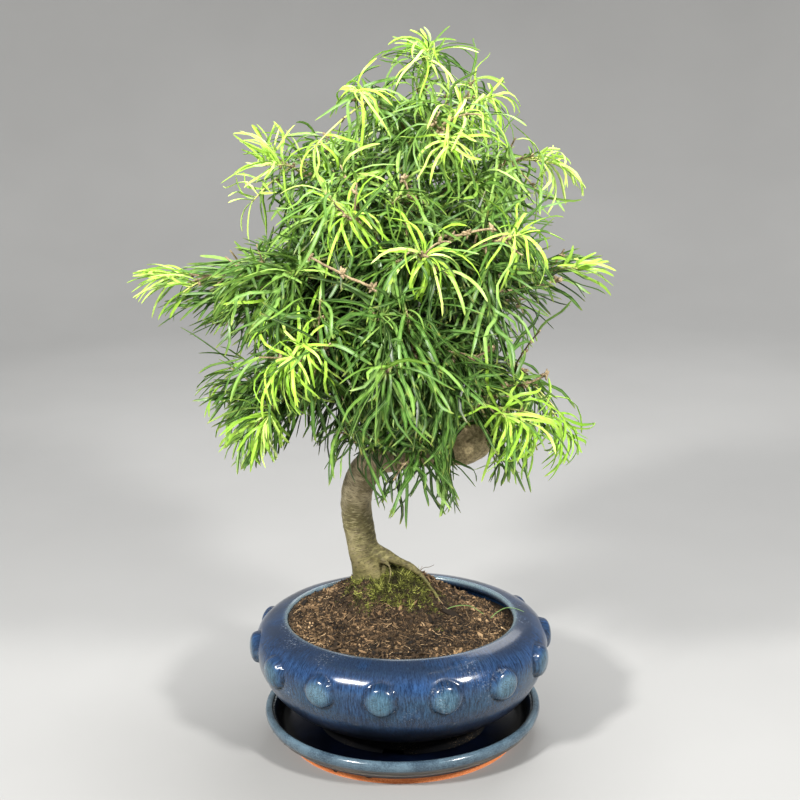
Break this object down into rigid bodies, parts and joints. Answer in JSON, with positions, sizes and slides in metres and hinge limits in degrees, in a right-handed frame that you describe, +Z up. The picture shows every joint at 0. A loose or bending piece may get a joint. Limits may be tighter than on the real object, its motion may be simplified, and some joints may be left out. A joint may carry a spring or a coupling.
{
  "type": "bonsai tree in a studded oval pot with a saucer",
  "caption": "Golden larch bonsai: bent trunk with surface roots and drooping narrow leaves, in an oval blue studded pot of soil on a drip saucer.",
  "frame": {"origin": "centre of the saucer's flat underside, on the surface the part stands on", "axes": "+Z up; +X to the right and +Y to the back as the tree's front is seen"},
  "size_m": [0.3724, 0.3443, 0.5708],
  "materials": {
    "saucer_glaze": "gloss",
    "pot_glaze": "gloss",
    "drain_mesh_plastic": "matte",
    "potting_soil": "matte",
    "bark": "matte",
    "leaves": "satin"
  },
  "bodies": {
    "root": {"saucer": "saucer_glaze", "pot": "pot_glaze", "drain_mesh": "drain_mesh_plastic", "soil": "potting_soil", "trunk": "bark", "leafy_branch_01": "leaves", "leafy_branch_02": "leaves", "leafy_branch_03": "leaves", "leafy_branch_04": "leaves", "leafy_branch_05": "leaves", "leafy_branch_06": "leaves", "leafy_branch_07": "leaves", "leafy_branch_08": "leaves", "leafy_branch_09": "leaves", "leafy_branch_10": "leaves", "leafy_branch_11": "leaves", "leafy_branch_12": "leaves", "leafy_branch_13": "leaves", "leafy_branch_14": "leaves", "leafy_branch_15": "leaves", "leafy_branch_16": "leaves", "leafy_branch_17": "leaves", "leafy_branch_18": "leaves", "leafy_branch_19": "leaves", "leafy_branch_20": "leaves", "leafy_branch_21": "leaves", "leafy_branch_22": "leaves", "leafy_branch_23": "leaves", "leafy_branch_24": "leaves", "leafy_branch_25": "leaves", "leafy_branch_26": "leaves", "leafy_branch_27": "leaves", "leafy_branch_28": "leaves"}
  },
  "joints": []
}
